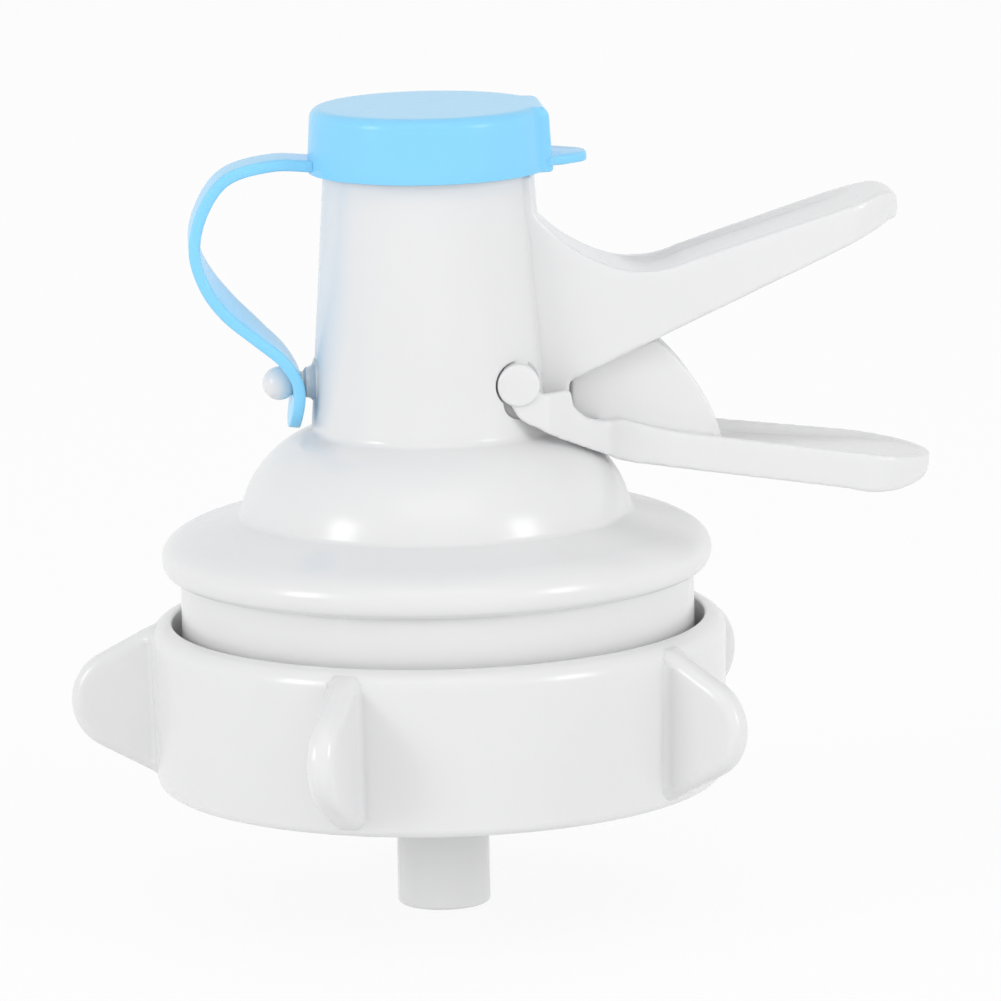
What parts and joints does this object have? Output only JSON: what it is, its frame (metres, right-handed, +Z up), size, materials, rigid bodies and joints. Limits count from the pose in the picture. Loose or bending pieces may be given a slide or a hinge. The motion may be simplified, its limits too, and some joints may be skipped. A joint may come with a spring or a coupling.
{
  "type": "bottle pour tap",
  "caption": "Pour tap for a large water bottle: squeeze trigger under a carrying handle, winged collar nut, capped spout on a strap, feed tube below",
  "frame": {"origin": "on the neck's axis, in the plane where the bottle's lip meets the gasket", "axes": "+Z up the neck towards the capped mouth, +X towards the handle and trigger, -X towards the strap's button"},
  "size_m": [0.108, 0.0879, 0.1006],
  "materials": {
    "white_plastic": "smooth injection-moulded polypropylene, soft gloss",
    "tube_plastic": "extruded polyethylene tube, soft gloss",
    "blue_plastic": "soft sky-blue polyethylene",
    "inner_plastic": "natural white acetal",
    "seal_rubber": "translucent white silicone rubber",
    "spring_steel": "stainless steel"
  },
  "bodies": {
    "housing": {"spout_housing": "white_plastic", "seat_plate": "inner_plastic", "plate_seal": "seal_rubber", "neck_gasket": "seal_rubber", "stem_guide": "inner_plastic", "valve_chamber": "inner_plastic", "feed_tube": "tube_plastic", "axle_seal_near": "seal_rubber", "axle_seal_far": "seal_rubber", "cap_strap": "blue_plastic"},
    "trigger": {"trigger_lever": "white_plastic", "pivot_axle": "spring_steel", "axle_clip": "spring_steel", "rocker": "inner_plastic"},
    "valve": {"valve_stem": "spring_steel", "valve_disc": "seal_rubber", "disc_washer": "inner_plastic", "stem_clip": "spring_steel", "spring_cap": "inner_plastic", "return_spring": "spring_steel"},
    "grip": {"grip_ring": "inner_plastic", "slip_washer": "inner_plastic"},
    "collar": {"collar_nut": "white_plastic"},
    "cap": {"spout_cap": "blue_plastic", "cap_liner": "seal_rubber"}
  },
  "joints": [
    {"name": "trigger_squeeze", "type": "hinge", "parent": "housing", "child": "trigger", "pos_m": [0.0095, 0, 0.0293], "axis": [0, -1, 0], "range_deg": [0, 22]},
    {"name": "valve_slide", "type": "slide", "parent": "housing", "child": "valve", "axis": [0, 0, -1], "range_m": [0, 0.0037], "stiffness_N_per_m": 300, "springref_m": -0.005, "deforming": ["return_spring"]},
    {"name": "cap_lift", "type": "slide", "parent": "housing", "child": "cap", "axis": [0, 0, 1], "range_m": [0, 0.012], "deforming": ["cap_strap"]},
    {"name": "collar_climb", "type": "slide", "parent": "housing", "child": "grip", "axis": [0, 0, -1], "range_m": [0, 0.00301]},
    {"name": "collar_turn", "type": "hinge", "parent": "grip", "child": "collar", "pos_m": [0, 0, -0.012], "axis": [0, 0, -1], "range_deg": [0, 360]}
  ],
  "couplings": [
    {"joint": "valve_slide", "follows": "trigger_squeeze", "m_per_rad": 0.0095},
    {"joint": "collar_climb", "follows": "collar_turn", "m_per_rad": 0.00047746}
  ]
}
